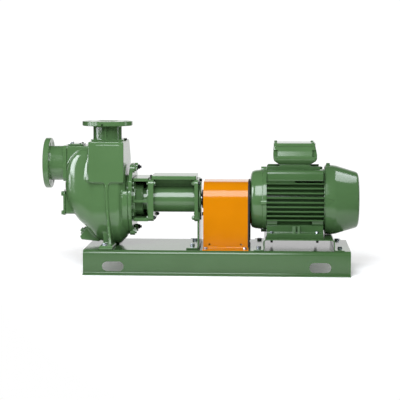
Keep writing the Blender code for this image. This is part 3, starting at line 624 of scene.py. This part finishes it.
def make_nozzles():
    dressed("suction_nozzle_casting", "suction_nozzle", CAST_GREEN, CAST_EDGE)
    dressed("discharge_nozzle_casting", "discharge_nozzle", CAST_GREEN, CAST_EDGE,
            cuts=[cylinder("rim_hole", "Y", (RIM_HOLE_X, RIM_HOLE_Z), *RIM_HOLE_Y, RIM_HOLE_R, 20)])
    dressed("priming_cover_plate", "priming_cover", CAST_GREEN, IRON_EDGE)
    dressed("inspection_cover_plate", "inspection_cover", CAST_GREEN, COVER_EDGE)
    dressed("drain_plug_iron", "drain_plug", CAST_GREEN, SMALL_EDGE)
    left, right = [pairs([x], PRIMING_BOLT_Y, PRIMING_TOP, UP) for x in PRIMING_BOLT_X]
    bolts("priming_cover_bolts_left", 6, left, ZINC, "priming_cover", washer=False)
    bolts("priming_cover_bolts_right", 4, right, BLACK, "priming_cover", washer=False)
    corners = [(INSPECTION_FACE, side * INSPECTION_BOLT_Y, z, LEFT)
               for side in SIDES for z in INSPECTION_BOLT_Z]
    bolts("inspection_cover_bolts", 10, corners, CAST_GREEN, "inspection_cover")


def make_cover():
    dressed("casing_cover_casting", "casing_cover", CAST_GREEN, FINE_EDGE,
            cuts=mirrored_blocks("cover_flat", *COVER_FLAT))
    near = [(COVER_BACK, -STUD_Y, z, RIGHT) for z in STUD_NEAR_Z]
    far = [(COVER_BACK, STUD_Y, z, RIGHT) for z in STUD_FAR_Z]
    bolts("casing_cover_nuts_near", 10, near, CAST_GREEN, "casing_cover", washer=False)
    bolts("casing_cover_caps_far", 10, far, BLACK, "casing_cover", stud=6)
    ring = [(COVER_FRONT + SEAT, y, z, RIGHT) for y, z in LANTERN_BOLTS]
    bolts("lantern_flange_bolts", 8, ring, CAST_GREEN, "bearing_lantern", washer=False)
    dressed("lantern_casting", "bearing_lantern", CAST_GREEN, CAST_EDGE)
    dressed("seal_housing_casting", "seal_housing", CAST_GREEN, CAST_EDGE,
            cuts=[block("seal_housing_flat", *SEAL_HOUSING_FLAT)])
    gland = cylinder("seal_gland", "X", (0, AXIS_Z), *GLAND_X, GLAND_R, 64)
    show(soften(gland, COVER_EDGE), CAST_GREEN)


def plate_bolts(name, size, face, direction, rises, material, slot, **settings):
    """Bolts of a bracket plate, two at each of the given rises over the shaft line."""
    places = [place for rise in rises for place in pairs([face], PLATE_BOLT_Y, AXIS_Z + rise, direction)]
    bolts(name, size, places, material, slot, **settings)


def make_bracket():
    pump_side, motor_side = "bearing_plate_pump_side", "bearing_plate_motor_side"
    for node in (pump_side, motor_side, "bracket_top_plate", "bearing_cover"):
        dressed(f"{node}_painted", node, CAST_GREEN, PLATE_EDGE)
    dressed("bearing_housing_casting", "bearing_housing", CAST_GREEN, PLATE_EDGE,
            cuts=[extruded("saddle_relief", [(side * y, z) for y, z in SADDLE_RELIEF], "X", *SADDLE_RELIEF_X)
                  for side in SIDES])
    # The support leg takes the darker sheet green: painted shade.
    dressed("support_leg_painted", "support_leg", SHEET_GREEN_PAINTED_SHADE, FINE_EDGE)
    dressed("oil_plug_steel", "oil_plug", BLACK, FINE_EDGE)
    upper, lower, four = [PLATE_BOLT_RISE], [-PLATE_BOLT_RISE], [PLATE_BOLT_RISE, -PLATE_BOLT_RISE]
    plate_bolts("bracket_bolts_pump_side", 8, PLATE_LEFT[0], LEFT, four, CAST_GREEN, pump_side)
    plate_bolts("bracket_nuts_upper", 8, PLATE_LEFT[1], RIGHT, upper, CAST_GREEN, pump_side)
    plate_bolts("bracket_nuts_lower", 8, PLATE_LEFT[1], RIGHT, lower, BLACK, pump_side, stud=3)
    plate_bolts("bracket_nuts_motor_side", 10, PLATE_RIGHT[0], LEFT, four, CAST_GREEN, motor_side, stud=3)
    plate_bolts("bracket_bolts_upper", 8, PLATE_RIGHT[1], RIGHT, upper, BLACK, motor_side)
    plate_bolts("bracket_bolts_lower", 8, LEG_FACE, RIGHT, lower, BLACK, "support_leg", washer=False)
    foot = pairs([LEG_BOLT_X], LEG_BOLT_Y, BASE_TOP + GAP + LEG_PLATE, UP)
    bolts("support_leg_bolts", 10, foot, ZINC, "support_leg")


def make_guard():
    holes = [cylinder("guard_hole", "Y", (x, GUARD_HOLE_Z), *GUARD_HOLE_Y, GUARD_HOLE_R, 24)
             for x in GUARD_HOLE_X]
    dressed("guard_painted", "coupling_guard", ORANGE, GUARD_EDGE, cuts=holes)
    outer, inner = [arch(GUARD_HALF_WIDTH + out, GUARD_TOP + out, GUARD_SHOULDER_R + out, TRIM_FOOT_Z)
                    for out in (TRIM_OUTSIDE, -TRIM_INSIDE)]
    trim = extruded("guard_edge_trim", outer + inner[::-1], "X", *TRIM_X)
    show(soften(trim, FINE_EDGE), RUBBER)
    feet = pairs(GUARD_BOLT_X, GUARD_BOLT_Y, BASE_TOP + GAP + GUARD_SHEET, UP)
    bolts("guard_bolts", 8, feet, ZINC, "coupling_guard")


def make_base():
    # Base and pedestal take the darker sheet green: painted shade.
    dressed("base_painted", "base_frame", SHEET_GREEN_PAINTED_SHADE, FINE_EDGE)
    dressed("pedestal_painted", "motor_pedestal", SHEET_GREEN_PAINTED_SHADE, FINE_EDGE)
    feet = pairs(PEDESTAL_BOLT_X, PEDESTAL_BOLT_Y, BASE_TOP + GAP + PEDESTAL_SHEET, UP)
    bolts("pedestal_bolts", 10, feet, ZINC, "motor_pedestal")


def make_motor():
    # Frame and feet take the darker motor green: painted shade.
    for node in ("motor_frame", "motor_foot_near", "motor_foot_far"):
        dressed(f"{node}_casting", node, MOTOR_GREEN_PAINTED_SHADE, IRON_EDGE)
    for node in ("drive_end_shield", "fan_end_shield"):
        dressed(f"{node}_casting", node, CAST_GREEN, CAST_EDGE)
    # The fan cover takes a darker copy of the enamel: painted shade.
    dressed("fan_cover_pressing", "fan_cover", PRESSED_GREEN_PAINTED_SHADE, SMALL_EDGE,
            cuts=[extruded("cover_notch", COVER_NOTCH, "Y", *across(COVER_NOTCH_Y, side)) for side in SIDES])
    for node in ("terminal_box_neck", "terminal_box_lid"):
        dressed(f"{node}_casting", node, CAST_GREEN, CAST_EDGE)
    recesses = [mirrored_blocks("lid_recess", x, LID_RECESS_Y, LID_RECESS_Z) for x in LID_RECESS_X]
    dressed("terminal_box_casting", "terminal_box", CAST_GREEN, CAST_EDGE, cuts=recesses[0] + recesses[1])
    bolts("motor_foot_bolts", 8, pairs(MOTOR_FOOT_HOLE_X, MOTOR_FOOT_HOLE_Y, MOTOR_FOOT_TOP, UP), ZINC,
          "motor_foot_near", washer=False)
    under = pairs(MOTOR_FOOT_HOLE_X, MOTOR_FOOT_HOLE_Y, PEDESTAL_TOP - PEDESTAL_SHEET, DOWN)
    bolts("motor_foot_nuts", 10, under, BLACK, "motor_pedestal", stud=9)
    # The lug takes the same darker copy of the enamel: painted shade.
    show(soften(block("fan_cover_lug", *LUG), COVER_EDGE), PRESSED_GREEN_PAINTED_SHADE)
    screw = [(sum(LUG[0]) / 2, 0, LUG[2][1] + SEAT, UP)]
    bolts("fan_cover_screw", 8, screw, CAST_GREEN, "fan_cover", washer=False)
    screws = pairs(LID_SCREW_X, LID_SCREW_Y, LID_TOP, UP)
    bolts("terminal_lid_screws", 6, screws, CAST_GREEN, "terminal_box_lid", washer=False)


def make_rotor():
    turning = {"pump_shaft": STEEL, "motor_shaft": STEEL, "coupling_hub_pump": HUB_IRON,
               "coupling_hub_motor": HUB_IRON, "coupling_insert": RUBBER, "cooling_fan": POLYMER}
    for node, material in turning.items():
        dressed(f"{node}_turned", node, material, FINE_EDGE, TURNING)


# Studio

def soft_box(name, place, aim, size, radiance, lights_paint):
    """A rectangular lamp that faces the given point; it may show in the gloss alone."""
    data = bpy.data.lights.new(name, "AREA")
    data.shape = "RECTANGLE"
    data.size, data.size_y = size
    data.energy = radiance * pi * size[0] * size[1]
    data.color = LAMP_TINT
    lamp = bpy.data.objects.new(name, data)
    bpy.context.scene.collection.objects.link(lamp)
    lamp.location = place
    lamp.rotation_euler = (Vector(aim) - Vector(place)).to_track_quat("-Z", "Y").to_euler()
    lamp.visible_camera = False
    lamp.visible_diffuse = lights_paint


def make_world():
    """A pale backdrop: bright behind the pump, dim at the sides and above for what the paint mirrors."""
    world = bpy.data.worlds.new("studio")
    bpy.context.scene.world = world
    world.use_nodes = True
    tree = world.node_tree
    back = tree.nodes["Background"]
    back.inputs["Color"].default_value = (1.0, 1.0, 1.0, 1.0)
    place = add(tree, "ShaderNodeTexCoord")
    parts = add(tree, "ShaderNodeSeparateXYZ", {}, {"Vector": (place, "Generated")})
    fall = {"From Min": 0.80, "From Max": 0.97, "To Min": 0.02, "To Max": 1.05}
    mirrored = add(tree, "ShaderNodeMapRange", fall, {"Value": (parts, "Y")})
    path = add(tree, "ShaderNodeLightPath")
    spread = add(tree, "ShaderNodeMix", {}, {"Factor": (path, "Is Diffuse Ray"), "A": (mirrored, "Result")})
    spread.inputs["B"].default_value = AMBIENT
    seen = add(tree, "ShaderNodeMath", {"operation": "MAXIMUM"},
               {0: (spread, "Result"), 1: (path, "Is Camera Ray")})
    tree.links.new(seen.outputs["Value"], back.inputs["Strength"])


def make_floor():
    """A plain white floor that fades out far from the pump."""
    bpy.ops.object.select_all(action="DESELECT")
    bpy.ops.mesh.primitive_circle_add(vertices=64, radius=FLOOR_R, fill_type="NGON", location=(0, 0, 0))
    floor = bpy.context.active_object
    floor.name = "floor"
    material, tree, shader = new_material("matt_white_floor", {"Roughness": 0.9, "Specular IOR Level": 0.0})
    place = add(tree, "ShaderNodeTexCoord")
    away = add(tree, "ShaderNodeVectorMath", {"operation": "LENGTH"}, {0: (place, "Object")})
    fade = add(tree, "ShaderNodeMapRange", {"From Min": FLOOR_FADE[0], "From Max": FLOOR_FADE[1],
                                            "To Min": 1.0, "To Max": 0.0, "interpolation_type": "SMOOTHSTEP"},
               {"Value": (away, "Value")})
    shader.inputs["Base Color"].default_value = linear("FAFAFA")
    shader.inputs["Emission Color"].default_value = (1.0, 1.0, 1.0, 1.0)
    shader.inputs["Emission Strength"].default_value = 0.12
    tree.links.new(fade.outputs["Result"], shader.inputs["Alpha"])
    floor.data.materials.append(material)


def make_studio():
    bpy.context.scene.view_settings.view_transform = "Standard"
    make_world()
    make_floor()
    for name, lamp in LAMPS.items():
        soft_box(name, *lamp)


def make_camera():
    data = bpy.data.cameras.new("camera")
    camera = bpy.data.objects.new("camera", data)
    bpy.context.scene.collection.objects.link(camera)
    camera.location = CAMERA_PLACE
    camera.rotation_euler = (pi / 2 - atan(DOWN_PIXELS / FOCAL_PIXELS), 0.0, atan(LEFT_PIXELS / FOCAL_PIXELS))
    data.sensor_width = SENSOR_WIDTH
    data.lens = SENSOR_WIDTH * FOCAL_PIXELS / PICTURE_PIXELS
    bpy.context.scene.camera = camera


make_casing()
make_nozzles()
make_cover()
make_bracket()
make_guard()
make_base()
make_motor()
make_rotor()
make_studio()
make_camera()
